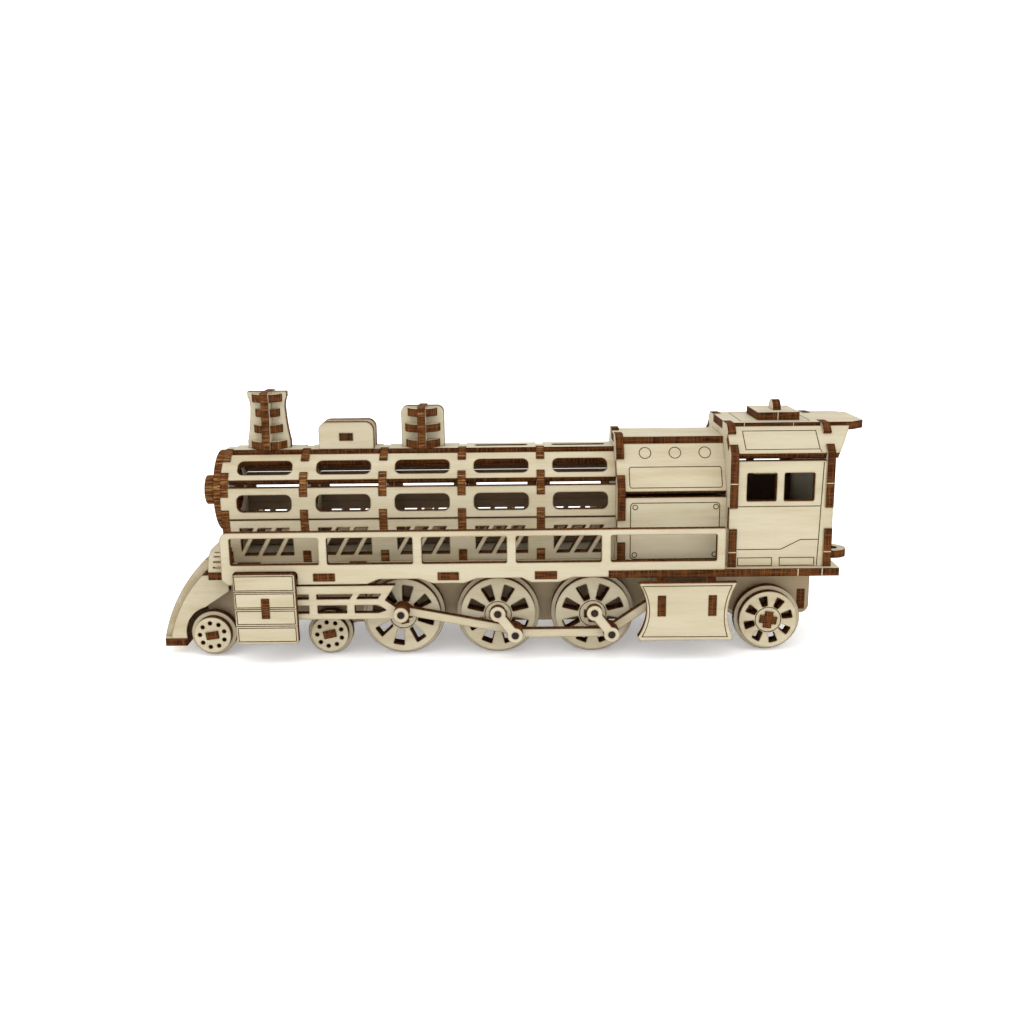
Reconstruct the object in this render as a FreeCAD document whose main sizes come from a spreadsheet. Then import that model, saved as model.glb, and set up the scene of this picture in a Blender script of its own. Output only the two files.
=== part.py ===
import FreeCAD, Part
import math
import os
import Sketcher

# A flat-pack plywood steam locomotive. Every piece is cut from one thickness of birch ply.
# Row frame: -X is the front of the engine, -Y its left side, +Z up, Z = 0 the track it stands on,
# and the origin is the bottom centre of the whole model.

os.makedirs("parts", exist_ok=True)
doc = FreeCAD.newDocument("plywood_locomotive")

# ---------------------------------------------------------------- driving dimensions, millimetres
DIMENSIONS = {
    "ply": 2.8,
    "front_end": -125.0, "rear_end": 125.0,
    # the frame and the body are drawn from a datum that stands this high above the track
    "frame_lift": 0.7,
    # boiler
    "ring_first": -99.9, "ring_pitch": 27.85, "ring_half": 16.2, "boiler_height": 56.2,
    "boiler_crown": 71.2, "boiler_top": 71.0,
    "window_length": 19.3, "smokebox_radius": 14.6, "smokebox_height": 55.6, "door_radius": 5.3,
    "flue_radius": 8.0,
    # running board
    "board_height": 30.0, "board_front": -104.6, "board_rear": 114.2, "board_half": 28.6,
    "board_inner_half": 26.2, "board_step": 34.5, "wheel_notch": 22.0, "notch_inner": 15.6,
    # layers outward from the centre plane, to the middle of each ply
    "chassis_layer": 13.8, "flange_layer": 18.4, "tread_layer": 21.2, "rod_layer": 24.9,
    "guide_layer": 27.7, "cover_layer": 30.5,
    # wheels
    "driver_radius": 14.7, "driver_tread": 13.3, "driver_first": -37.5, "driver_pitch": 33.5,
    "trailer_radius": 11.7, "trailer_tread": 10.3, "trailer_place": 91.7,
    "leader_radius": 8.0, "leader_tread": 6.6, "leader_front": -105.6, "leader_rear": -63.9,
    "axle_width": 6.0, "small_axle_width": 4.4, "axle_gap": 0.07, "axle_proud": 0.5,
    # linkage
    "boss_height": 16.9, "pin_height": 9.05, "pin_lead": 6.0, "pin_radius": 1.2, "boss_radius": 2.75,
    "rod_width": 2.9,
    # firebox and cab
    "firebox_half": 21.3, "cab_half": 26.0, "cab_front": 77.4, "cab_rear": 110.3, "roof_top": 80.3,
    "roof_half": 14.9, "hatch_middle": 95.6, "handle_place": 96.3,
    # fittings on the boiler
    "chimney_place": -86.0, "dome_place": -30.5, "sand_box_place": -57.7,
    # coupling eye
    "eye_place": 119.2, "eye_radius": 5.2, "eye_hole": 2.2,
}

sheet = doc.addObject("Spreadsheet::Sheet", "Sheet")
for row, (alias, number) in enumerate(DIMENSIONS.items(), start=1):
    sheet.set(f"A{row}", alias)
    sheet.set(f"B{row}", str(number))
    sheet.setAlias(f"B{row}", alias)
doc.recompute()


def size(alias):
    return float(getattr(sheet, alias))


PLY = size("ply")
HALF_PLY = PLY / 2
BOARD_TOP = size("board_height") + HALF_PLY
BOARD_UNDER = size("board_height") - HALF_PLY
LIFT = size("frame_lift")
RINGS = [size("ring_first") + size("ring_pitch") * i for i in range(5)]
FIREBOX_FRONT = size("ring_first") + size("ring_pitch") * 5
DRIVERS = [size("driver_first") + size("driver_pitch") * i for i in range(3)]
SIDES = (("left", -1), ("right", 1))


# ---------------------------------------------------------------- drawing helpers
def rectangle(low_u, low_v, high_u, high_v, corner=0.0):
    return [(low_u, low_v, corner), (high_u, low_v, corner), (high_u, high_v, corner), (low_u, high_v, corner)]


def turned_rectangle(centre, half_long, half_wide, angle):
    """A rectangle whose long direction is turned by angle degrees."""
    cosine = math.cos(math.radians(angle))
    sine = math.sin(math.radians(angle))
    corners = rectangle(-half_long, -half_wide, half_long, half_wide)
    return [(centre[0] + u * cosine - v * sine, centre[1] + u * sine + v * cosine) for u, v, _ in corners]


def end_of(point):
    """Where an outline point or arc ends."""
    return point[3:5] if point[0] == "arc" else point[:2]


def mirrored(points):
    """The half outline on the +u side, followed by its mirror image back to the start."""
    other = []
    curve = None
    for point in reversed(points):
        end_u, end_v = end_of(point)
        fillet = () if point[0] == "arc" else tuple(point[2:])
        other.append(("arc", *curve, -end_u, end_v) if curve else (-end_u, end_v) + fillet)
        curve = (-point[1], point[2]) if point[0] == "arc" else None
    return list(points) + other


def both_sides(points):
    """A half outline on the +v side, closed by its mirror image."""
    return list(points) + [(p[0], -p[1]) + tuple(p[2:]) for p in reversed(points)]


def shifted(points, along, up=0.0):
    return [(p[0] + along, p[1] + up) + tuple(p[2:]) for p in points]


def flipped(loops, sign):
    """Loops with their second coordinate multiplied by sign."""
    if sign > 0:
        return loops
    turned = []
    for loop in loops:
        if loop[0] == "circle":
            turned.append(("circle", loop[1], -loop[2]) + tuple(loop[3:]))
        else:
            turned.append([("arc", p[1], -p[2], p[3], -p[4]) if p[0] == "arc" else (p[0], -p[1]) + tuple(p[2:])
                           for p in loop])
    return turned


def vector(point):
    return FreeCAD.Vector(point[0], point[1], 0)


def rounded_ends(before, corner, after, radius):
    """Where a corner's fillet starts, its middle and where it ends."""
    back = (vector(before) - vector(corner)).normalize()
    ahead = (vector(after) - vector(corner)).normalize()
    half_angle = back.getAngle(ahead) / 2
    reach = radius / math.tan(half_angle)
    centre = vector(corner) + (back + ahead).normalize() * (radius / math.sin(half_angle))
    middle = centre + (vector(corner) - centre).normalize() * radius
    return vector(corner) + back * reach, middle, vector(corner) + ahead * reach


def draw_loop(sketch, loop):
    """Draw one closed loop. A point is (u, v) or (u, v, fillet); ("arc", mid_u, mid_v, u, v) curves to u, v.
    ("circle", u, v, radius, alias) is a whole circle, its radius bound to the sheet when alias is given."""
    if loop[0] == "circle":
        index = sketch.addGeometry(Part.Circle(vector(loop[1:3]), FreeCAD.Vector(0, 0, 1), loop[3]), False)
        if len(loop) > 4:
            rule = sketch.addConstraint(Sketcher.Constraint("Radius", index, loop[3]))
            sketch.setExpression(f"Constraints[{rule}]", f"Sheet.{loop[4]}")
        return
    ends = [end_of(point) for point in loop]
    edges = []
    start = None
    first = None
    for place, point in enumerate(loop):
        if point[0] == "arc":
            edges.append(Part.Arc(start, vector(point[1:3]), vector(point[3:5])))
            start = vector(point[3:5])
            continue
        fillet = point[2] if len(point) > 2 else 0.0
        if fillet > 0:
            entry, middle, leave = rounded_ends(ends[place - 1], point, ends[(place + 1) % len(loop)], fillet)
        else:
            entry = leave = vector(point)
        if start is None:
            first = entry
        elif (entry - start).Length > 1e-6:
            edges.append(Part.LineSegment(start, entry))
        if fillet > 0:
            edges.append(Part.Arc(entry, middle, leave))
        start = leave
    if (first - start).Length > 1e-6:
        edges.append(Part.LineSegment(start, first))
    sketch.addGeometry(edges, False)


def sketch_on(body, name, plane, loops):
    sketch = body.newObject("Sketcher::SketchObject", name)
    support = [item for item in body.Origin.OriginFeatures if item.Role == plane][0]
    sketch.AttachmentSupport = [(support, "")]
    sketch.MapMode = "FlatFace"
    for loop in loops:
        draw_loop(sketch, loop)
    return sketch


def set_place(item, place, tilt_x=0.0, tilt_y=0.0, lift=True):
    """Bind a body's position to sheet formulas; numbers are allowed too. Everything but the wheels
    and their axles is lifted from the body's datum to its height above the track."""
    turn = FreeCAD.Rotation(FreeCAD.Vector(1, 0, 0), tilt_x)
    if tilt_y:
        turn = FreeCAD.Rotation(FreeCAD.Vector(0, 1, 0), tilt_y)
    item.Placement = FreeCAD.Placement(FreeCAD.Vector(0, 0, 0), turn)
    for axis, formula in zip("xyz", place):
        raised = " + Sheet.frame_lift" if lift and axis == "z" else ""
        item.setExpression(f"Placement.Base.{axis}", f"{formula}{raised}")


nodes = []


def plate(name, plane, outline, cuts=(), place=(0, 0, 0), tilt_x=0.0, tilt_y=0.0, node=True, thick="Sheet.ply",
          lift=True):
    """One piece of ply: an outline padded to its thickness, with the cuts taken through it."""
    body = doc.addObject("PartDesign::Body", name)
    body.Label = name
    pad = body.newObject("PartDesign::Pad", name + "_pad")
    pad.Profile = sketch_on(body, name + "_outline", plane, [outline])
    pad.SideType = "Symmetric"
    pad.setExpression("Length", thick)
    if cuts:
        pocket = body.newObject("PartDesign::Pocket", name + "_cuts")
        pocket.Profile = sketch_on(body, name + "_cut_lines", plane, cuts)
        pocket.Type = "ThroughAll"
        pocket.SideType = "Symmetric"
    set_place(body, place, tilt_x, tilt_y, lift)
    if node:
        nodes.append(body)
    return body


def group(name, pieces):
    """Several separate pieces of one kind, kept together under one name."""
    compound = doc.addObject("Part::Compound", name)
    compound.Label = name
    compound.Links = pieces
    nodes.append(compound)
    return compound


# ---------------------------------------------------------------- waisted panels between frames
# A panel runs along X over its frames. At each frame it narrows to a neck that lies in a notch of
# the frame's rim. A section face is (tilt about X, outer face centre y, z, half width, neck middle,
# neck half width), given for the left side; a tilt of 0 is a top panel.
BOILER_FACES = {
    "top": (0.0, 0.0, size("boiler_top"), 5.5, 0.0, 2.6),
    "shoulder": (45.0, -11.2, 65.6, 5.5, 0.0, 2.5),
    "side": (90.0, -size("ring_half"), 53.5, 5.55, 0.0, 2.35),
    "lower": (99.1, -14.9, 39.45, 8.1, 0.0, 3.7),
}
FIREBOX_FACES = {
    "top": (0.0, 0.0, 75.1, 10.6, 0.0, 5.0),
    "shoulder": (59.7, -16.3, 65.1, 8.9, 0.0, 3.2),
    "side": (90.0, -size("firebox_half"), 43.35, 11.95, 0.0, 4.0),
}
CAB_FACES = {
    "top": (0.0, 0.0, size("roof_top"), size("roof_half"), 0.0, 9.0),
    "shoulder": (42.0, -21.16, 75.2, 6.05, 0.0, 2.6),
    "side": (90.0, -size("cab_half"), 50.0, 18.6, -1.45, 3.75),
}


def cleaned(points):
    """Drop points that repeat or that lie on the straight line between their neighbours."""
    kept = list(points)
    changed = True
    while changed:
        changed = False
        for place, point in enumerate(kept):
            before = kept[place - 1]
            after = kept[(place + 1) % len(kept)]
            if "arc" in (point[0], before[0], after[0]):
                continue
            run_u, run_v = point[0] - before[0], point[1] - before[1]
            cross = run_u * (after[1] - point[1]) - run_v * (after[0] - point[0])
            if math.dist(point[:2], before[:2]) < 1e-6 or abs(cross) < 1e-9:
                kept.pop(place)
                changed = True
                break
    return kept


def waisted(start, end, face, frames, right_end=()):
    """A long strip from start to end with a waist at each frame. Extra points may shape its far end."""
    half_wide, neck_mid, neck_half = face[3:6]
    lower = [(start, -half_wide)]
    upper = [(start, half_wide)]
    for frame in frames:
        near = max(frame - HALF_PLY, start)
        far = min(frame + HALF_PLY, end)
        low_neck = neck_mid - neck_half
        high_neck = neck_mid + neck_half
        lower += [(near, -half_wide), (near, low_neck), (far, low_neck), (far, -half_wide)]
        upper += [(near, half_wide), (near, high_neck), (far, high_neck), (far, half_wide)]
    lower.append((end, -half_wide))
    upper.append((end, half_wide))
    return cleaned(lower + list(right_end) + list(reversed(upper)))


def panel(name, face, side, outline, cuts):
    """Set a panel on its section face, mirrored for the right side (side +1)."""
    tilt, face_y, face_z = face[0:3]
    lean = math.radians(tilt)
    mid_y = face_y + HALF_PLY * math.sin(lean)
    mid_z = face_z - HALF_PLY * math.cos(lean)
    loops = flipped([outline] + list(cuts), -side)
    return plate(name, "XY_Plane", loops[0], loops[1:], (0, -side * mid_y, mid_z), tilt_x=-side * tilt)


def neck_notches(faces):
    """The notches in a frame's rim, in its y-z plane, that the panel necks lie in."""
    rim = 4.0
    notches = []
    for tilt, face_y, face_z, _, neck_mid, neck_half in faces.values():
        lean = math.radians(tilt)
        out_y, out_z = -math.sin(lean), math.cos(lean)
        along_y, along_z = math.cos(lean), math.sin(lean)
        shift = (rim - PLY) / 2
        middle_y = face_y + along_y * neck_mid + out_y * shift
        middle_z = face_z + along_z * neck_mid + out_z * shift
        for side in ((-1, 1) if tilt else (-1,)):
            centre = (-side * middle_y, middle_z)
            notches.append(turned_rectangle(centre, neck_half, (rim + PLY) / 2, -side * tilt))
    return notches


# ---------------------------------------------------------------- boiler
FOOT_HALF = 13.7
WAIST_HEIGHT = 48.0


def boiler_ring(order):
    """One frame of the boiler: straight legs, an arched crown, panel notches and a flue hole."""
    half = size("ring_half")
    middle = size("boiler_height")
    outline = [(FOOT_HALF, BOARD_TOP), (half, WAIST_HEIGHT), (half, middle),
               ("arc", 0, size("boiler_crown"), -half, middle), (-half, WAIST_HEIGHT), (-FOOT_HALF, BOARD_TOP)]
    flue = ("circle", 0, middle, size("flue_radius"), "flue_radius")
    return plate(f"boiler_ring_{order + 1}", "YZ_Plane", outline, neck_notches(BOILER_FACES) + [flue],
                 (f"Sheet.ring_first + Sheet.ring_pitch * {order}", 0, 0), node=False)


group("boiler_rings", [boiler_ring(order) for order in range(len(RINGS))])

BOILER_FRONT = RINGS[0] - HALF_PLY
BOILER_REAR = FIREBOX_FRONT - HALF_PLY
BAYS = [place + size("ring_pitch") / 2 for place in RINGS]


def window(middle, low, high, corner):
    half_long = size("window_length") / 2
    return rectangle(middle - half_long, low, middle + half_long, high, corner)


LOUVRE_DROP = 0.1


def louvre(middle):
    """Four cut-outs separated by three slanted bars."""
    length, high, lean, bar, pitch = 18.6, 10.6, math.tan(math.radians(29)), 1.7, 6.4
    first = -(length / 2) - high / 2 * lean + (length / 2 - pitch)
    feet = [first + pitch * i for i in range(3)]
    low, top, left, right = -high / 2, high / 2, -length / 2, length / 2
    bar_left = [foot - bar / 2 for foot in feet]
    bar_right = [foot + bar / 2 for foot in feet]
    rise = high * lean
    loops = [
        [(left, low + (left - bar_left[0]) / lean), (bar_left[0] + rise, top), (left, top)],
        [(bar_right[0], low), (bar_left[1], low), (bar_left[1] + rise, top), (bar_right[0] + rise, top)],
        [(bar_right[1], low), (bar_left[2], low), (bar_left[2] + rise, top), (bar_right[1] + rise, top)],
        [(bar_right[2], low), (right, low), (right, low + (right - bar_right[2]) / lean)],
    ]
    return [shifted(loop, middle, -LOUVRE_DROP) for loop in loops]


def boiler_strip(face):
    return waisted(BOILER_FRONT, BOILER_REAR, face, RINGS)


top_face = BOILER_FACES["top"]
top_slots = [rectangle(bay - 9.5, -1.6, bay + 9.5, 1.6, 1.2) for bay in BAYS[3:]]
panel("boiler_top_panel", top_face, -1, boiler_strip(top_face), top_slots)
for side_name, side in SIDES:
    for part, windows in (
        ("shoulder", [window(bay, -3.3, 2.7, 2.2) for bay in BAYS]),
        ("side", [window(bay, -3.1, 3.1, 2.2) for bay in BAYS]),
        ("lower", [cut for bay in BAYS for cut in louvre(bay)]),
    ):
        face = BOILER_FACES[part]
        panel(f"boiler_{part}_panel_{side_name}", face, side, boiler_strip(face), windows)

# The smokebox front: a large disc on the first ring and a small two-layer door in its middle.
plate("smokebox_disc", "YZ_Plane", ("circle", 0, 0, size("smokebox_radius"), "smokebox_radius"),
      place=("Sheet.ring_first - Sheet.ply", 0, "Sheet.smokebox_height"))
group("smokebox_door", [
    plate(f"door_layer_{layer}", "YZ_Plane", ("circle", 0, 0, size("door_radius"), "door_radius"),
          place=(f"Sheet.ring_first - Sheet.ply * {layer + 1}", 0, "Sheet.smokebox_height"), node=False)
    for layer in (1, 2)])

# ---------------------------------------------------------------- firebox
FIREBOX_REAR = size("cab_front") + HALF_PLY
FIREBOX_FRAMES = (FIREBOX_FRONT, size("cab_front"))
frame_outline = mirrored([(22.0, BOARD_TOP), (22.0, 57.6, 2.0), (12.4, 74.0, 2.0), (10.2, 76.0, 1.0)])
plate("firebox_frame", "YZ_Plane", frame_outline, neck_notches(FIREBOX_FACES),
      ("Sheet.ring_first + Sheet.ring_pitch * 5", 0, 0))


def firebox_strip(face):
    return waisted(FIREBOX_FRONT - HALF_PLY, FIREBOX_REAR, face, FIREBOX_FRAMES)


face = FIREBOX_FACES["top"]
panel("firebox_top_panel", face, -1, firebox_strip(face), [])
for side_name, side in SIDES:
    for part in ("shoulder", "side"):
        face = FIREBOX_FACES[part]
        panel(f"firebox_{part}_panel_{side_name}", face, side, firebox_strip(face), [])

# ---------------------------------------------------------------- cab
CAB_SHELL = [(26.6, BOARD_TOP), (26.6, 71.2, 2.5), (17.0, size("roof_top"), 1.5)]
CAB_FRAMES = (size("cab_front"), size("cab_rear"))


def firebox_slots():
    """Slots in the cab's front frame that the firebox panels' end fingers pass through."""
    slots = []
    for tilt, face_y, face_z, _, neck_mid, neck_half in FIREBOX_FACES.values():
        lean = math.radians(tilt)
        middle_y = face_y + math.cos(lean) * neck_mid + HALF_PLY * math.sin(lean)
        middle_z = face_z + math.sin(lean) * neck_mid - HALF_PLY * math.cos(lean)
        for side in ((-1, 1) if tilt else (-1,)):
            slots.append(turned_rectangle((-side * middle_y, middle_z), neck_half, HALF_PLY, -side * tilt))
    return slots


look_out = [rectangle(-6.0, 58.0, 6.0, 68.0, 1.5)]
plate("cab_front_frame", "YZ_Plane", mirrored(CAB_SHELL), neck_notches(CAB_FACES) + firebox_slots() + look_out,
      ("Sheet.cab_front", 0, 0))
plate("cab_rear_frame", "YZ_Plane", mirrored(CAB_SHELL), neck_notches(CAB_FACES), ("Sheet.cab_rear", 0, 0))

CAB_START = size("cab_front") - HALF_PLY
CAB_END = size("cab_rear") + HALF_PLY
face = CAB_FACES["side"]
cab_side_outline = waisted(CAB_START, CAB_END, face, CAB_FRAMES)
cab_windows = [rectangle(81.8, 4.6, 92.1, 14.5, 0.6), rectangle(94.6, 4.6, 105.1, 14.5, 0.6)]
for side_name, side in SIDES:
    panel(f"cab_side_panel_{side_name}", face, side, cab_side_outline, cab_windows)

face = CAB_FACES["shoulder"]
TAIL_FOOT, TAIL_TIP = 113.2, 118.6
tail = [("arc", 115.6, -1.0, TAIL_TIP, face[3])]
cab_shoulder_outline = [p for p in waisted(CAB_START, TAIL_FOOT, face, CAB_FRAMES, tail)
                        if p[0] == "arc" or p[:2] != (TAIL_FOOT, face[3])]
for side_name, side in SIDES:
    panel(f"cab_shoulder_panel_{side_name}", face, side, cab_shoulder_outline, [])

face = CAB_FACES["top"]
roof_end = size("rear_end")
roof_corner = (roof_end - 5.0, 10.5)
roof_outline = waisted(CAB_START, roof_corner[0], face, CAB_FRAMES,
                       [(roof_end, -roof_corner[1]), (roof_end, roof_corner[1])])
panel("roof_panel", face, -1, roof_outline, [])

# The hatch lies on the roof and a half-round handle stands across it.
plate("roof_hatch", "XY_Plane", rectangle(-7.4, -9.4, 7.4, 9.4),
      place=("Sheet.hatch_middle", 0, "Sheet.roof_top + Sheet.ply / 2"))
handle_outline = [(-3.6, 0.0), (3.6, 0.0), (3.6, 0.6), ("arc", 0.0, 3.5, -3.6, 0.6)]
plate("roof_handle", "YZ_Plane", handle_outline, place=("Sheet.handle_place", 0, "Sheet.roof_top + Sheet.ply"))

# ---------------------------------------------------------------- running board, railings and coupling eye
TABS = ((-67.6, -60.1), (-24.6, -17.3), (9.0, 16.6))
GUIDE_OUTER = size("guide_layer") + HALF_PLY
COVER_OUTER = size("cover_layer") + HALF_PLY
CHASSIS_TABS = ((-97.0, -89.0), (-57.0, -51.0), (44.0, 50.0), (84.0, 92.0))


half_board = [(size("board_rear"), size("board_half")), (size("board_step"), size("board_half")),
              (size("board_step"), size("board_inner_half"))]
for low, high in reversed(TABS):
    half_board += [(high, size("board_inner_half")), (high, GUIDE_OUTER), (low, GUIDE_OUTER),
                   (low, size("board_inner_half"))]
half_board.append((size("board_front"), size("board_inner_half")))
board_cuts = []
CHASSIS_INNER = size("chassis_layer") - HALF_PLY
CHASSIS_OUTER = size("chassis_layer") + HALF_PLY
NOTCH_OUTER = size("tread_layer") + HALF_PLY + 1.2
half_notch = size("wheel_notch") / 2
for side in (-1, 1):
    for hub in DRIVERS:
        low, high = sorted((side * size("notch_inner"), side * NOTCH_OUTER))
        board_cuts.append(rectangle(hub - half_notch, low, hub + half_notch, high, 1.0))
    for start, end in CHASSIS_TABS:
        low, high = sorted((side * CHASSIS_INNER, side * CHASSIS_OUTER))
        board_cuts.append(rectangle(start, low, end, high))

# The coupling eye's shank ends in a T, let into the board's rear edge below the cab's rear frame.
EYE_SHANK, EYE_HEAD = 3.2, 5.4
HEAD_START, HEAD_END = 101.0, 103.8
eye_rear = size("board_rear")
board_outline = both_sides(half_board)[:-1]
board_outline = [(eye_rear, -EYE_SHANK), (HEAD_END, -EYE_SHANK), (HEAD_END, -EYE_HEAD), (HEAD_START, -EYE_HEAD),
                 (HEAD_START, EYE_HEAD), (HEAD_END, EYE_HEAD), (HEAD_END, EYE_SHANK), (eye_rear, EYE_SHANK)
                 ] + board_outline + [(eye_rear, -size("board_half"))]
plate("running_board", "XY_Plane", board_outline, board_cuts, (0, 0, "Sheet.board_height"))

# The railing: a long ladder of windows, arched over the driving wheels, notched for the cylinder cover.
RAIL_FOOT, RAIL_TOP, RAIL_START, RAIL_END = 27.5, 46.0, -99.2, 74.6
railing_outline = [
    (RAIL_START, 28.9), (-97.2, RAIL_FOOT), (-95.4, RAIL_FOOT), (-95.4, 32.3, 1.5),
    (-73.0, 32.3, 1.5), (-73.0, RAIL_FOOT),
    (-49.1, RAIL_FOOT), (-45.0, 29.2), (-31.0, 29.2), (-26.4, RAIL_FOOT), (-15.4, RAIL_FOOT), (-11.0, 29.2),
    (4.5, 29.2), (7.6, RAIL_FOOT), (17.3, RAIL_FOOT), (22.1, 29.2), (size("board_step"), 29.2),
    (size("board_step"), BOARD_TOP), (RAIL_END, BOARD_TOP), (RAIL_END, RAIL_TOP),
    (RAIL_START, RAIL_TOP, 2.6),
]
railing_windows = [rectangle(low, 34.5, high, 44.0, 0.6) for low, high in
                   ((-96.0, -65.4), (-62.6, -33.0), (-29.9, -0.6), (2.5, 32.0), (35.2, 71.7))]
railing_slots = [rectangle(low, BOARD_UNDER, high, BOARD_TOP) for low, high in TABS]
for side_name, side in SIDES:
    plate(f"railing_{side_name}", "XZ_Plane", railing_outline, railing_windows + railing_slots,
          (0, f"{side} * Sheet.guide_layer", 0))

eye = size("eye_radius")
meet = math.sqrt(eye ** 2 - EYE_SHANK ** 2)
head_start = HEAD_START - size("eye_place")
head_end = HEAD_END - size("eye_place")
eye_outline = [(head_start, -EYE_HEAD), (head_end, -EYE_HEAD), (head_end, -EYE_SHANK), (-meet, -EYE_SHANK),
               ("arc", eye, 0.0, -meet, EYE_SHANK), (head_end, EYE_SHANK), (head_end, EYE_HEAD),
               (head_start, EYE_HEAD)]
plate("coupling_eye", "XY_Plane", eye_outline, [("circle", 0, 0, size("eye_hole"), "eye_hole")],
      ("Sheet.eye_place", 0, "Sheet.board_height"))

# ---------------------------------------------------------------- chassis, hangers and covers
LAP = 18.0
HANGERS = (-84.05, 52.65, 70.15)
CYLINDER_TAB = (16.2, 23.4)
SKIRT_TAB = (15.6, 23.0)
# where each cross member stands, and how low and high its tabs are
CROSSES = ((-50.2, 15.3, 22.7), (104.8, 12.6, 20.0))
SMALL_HOLE = math.hypot(size("small_axle_width") / 2, HALF_PLY) + size("axle_gap")
BIG_HOLE = math.hypot(size("axle_width") / 2, HALF_PLY) + size("axle_gap")
chassis_top = []
for start, end in reversed(CHASSIS_TABS):
    chassis_top += [(end, BOARD_UNDER), (end, BOARD_TOP), (start, BOARD_TOP), (start, BOARD_UNDER)]
chassis_outline = [
    (-108.4, BOARD_UNDER), (-108.4, 4.4, 2.0), (-100.6, 4.4, 2.0), (-98.0, 11.0, 2.0), (-71.0, 11.0, 2.0),
    (-68.4, 4.4, 2.0), (-59.0, 4.4, 2.0), (-56.0, 9.4, 2.0), (40.0, 9.4, 2.0), (43.5, 13.0, 2.0),
    (80.0, 13.0, 2.0), (83.5, 7.0, 2.0), (98.0, 7.0, 2.0), (101.0, 11.2, 2.0), (107.7, 11.2, 3.0),
    (107.7, BOARD_UNDER)] + chassis_top
chassis_cuts = [rectangle(middle - HALF_PLY, 0.0, middle + HALF_PLY, LAP) for middle in HANGERS]
chassis_cuts += [rectangle(middle - HALF_PLY, low, middle + HALF_PLY, high) for middle, low, high in CROSSES]
chassis_cuts += [("circle", hub, size("driver_radius") - LIFT, BIG_HOLE) for hub in DRIVERS]
chassis_cuts += [("circle", size("trailer_place"), size("trailer_radius") - LIFT, BIG_HOLE)]
for hub in ("leader_front", "leader_rear"):
    chassis_cuts.append(("circle", size(hub), size("leader_radius") - LIFT, SMALL_HOLE))
group("chassis_sides", [
    plate(f"chassis_side_{side_name}", "XZ_Plane", chassis_outline, chassis_cuts,
          (0, f"{side} * Sheet.chassis_layer", 0), node=False)
    for side_name, side in SIDES])

lap_notches = []
for side in (-1, 1):
    low, high = sorted((side * CHASSIS_INNER, side * CHASSIS_OUTER))
    lap_notches.append(rectangle(low, LAP, high, BOARD_TOP))


def hanger(name, middle, reach, tab):
    """Hangs from the chassis sides and carries a cover on the tab at each of its ends."""
    foot = 11.0
    low, high = tab
    outline = mirrored([(reach, foot), (reach, low), (COVER_OUTER, low), (COVER_OUTER, high),
                        (reach, high), (reach, BOARD_UNDER)])
    return plate(name, "YZ_Plane", outline, lap_notches, (middle, 0, 0), node=False)


def cross_member(name, middle, low, high):
    """Ties the two chassis sides together through a tab at each end."""
    foot = low - 1.0
    outline = mirrored([(CHASSIS_INNER, foot), (CHASSIS_INNER, low), (CHASSIS_OUTER, low),
                        (CHASSIS_OUTER, high), (CHASSIS_INNER, high), (CHASSIS_INNER, BOARD_UNDER)])
    return plate(name, "YZ_Plane", outline, place=(middle, 0, 0), node=False)


group("cross_members", [
    hanger("cylinder_hanger", HANGERS[0], GUIDE_OUTER - PLY, CYLINDER_TAB),
    hanger("skirt_hanger_front", HANGERS[1], GUIDE_OUTER, SKIRT_TAB),
    hanger("skirt_hanger_rear", HANGERS[2], GUIDE_OUTER, SKIRT_TAB),
    cross_member("front_cross_member", *CROSSES[0]),
    cross_member("rear_cross_member", *CROSSES[1])])

cover_outline = [(-94.5, 7.0, 0.8), (-73.2, 7.0, 0.8), (-73.6, 31.9, 0.8), (-94.8, 31.9, 0.8)]
cover_slot = [rectangle(HANGERS[0] - HALF_PLY, CYLINDER_TAB[0], HANGERS[0] + HALF_PLY, CYLINDER_TAB[1])]
skirt_outline = [(45.4, 6.8), (77.4, 6.8), (77.4, 8.2), ("arc", 75.6, 19.2, 78.5, 27.4), (44.7, 27.4),
                 ("arc", 47.5, 19.2, 44.6, 8.2), (44.6, 8.0)]
skirt_slots = [rectangle(middle - HALF_PLY, SKIRT_TAB[0], middle + HALF_PLY, SKIRT_TAB[1])
               for middle in HANGERS[1:]]
group("cylinder_covers", [
    plate(f"cylinder_cover_{side_name}", "XZ_Plane", cover_outline, cover_slot,
          (0, f"{side} * Sheet.cover_layer", 0), node=False) for side_name, side in SIDES])
group("firebox_skirts", [
    plate(f"firebox_skirt_{side_name}", "XZ_Plane", skirt_outline, skirt_slots,
          (0, f"{side} * Sheet.cover_layer", 0), node=False) for side_name, side in SIDES])

# ---------------------------------------------------------------- guide plates and the fixed side rods
boss_z = size("boss_height")
boss_r = size("boss_radius")
boss_x = DRIVERS[0]
PIN_HOLE = size("pin_radius") + 0.05
guide_outline = [(-92.0, 14.9), (boss_x - 1.7, boss_z - 2.16),
                 ("arc", boss_x + boss_r, boss_z, boss_x - 1.9, boss_z + 1.98),
                 (-43.1, 21.6), (-39.5, 26.9), (-92.0, 26.9)]
guide_cuts = [
    rectangle(-74.3, 22.1, -69.5, 23.9), [(-66.8, 22.1), (-55.4, 22.1), (-54.2, 23.9), (-66.8, 23.9)],
    [(-53.0, 22.1), (-45.6, 22.1), (-44.4, 23.9), (-51.8, 23.9)],
    rectangle(-74.3, 17.0, -69.5, 19.9), rectangle(-66.6, 17.0, -56.4, 19.9),
    [(-53.7, 17.0), (-45.4, 17.0), (-42.6, 18.0), (-45.4, 19.9), (-53.7, 19.9)],
    cover_slot[0], ("circle", boss_x, boss_z, PIN_HOLE)]
group("guide_plates", [
    plate(f"guide_plate_{side_name}", "XZ_Plane", guide_outline, guide_cuts,
          (0, f"{side} * Sheet.guide_layer", 0), node=False) for side_name, side in SIDES])


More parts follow.
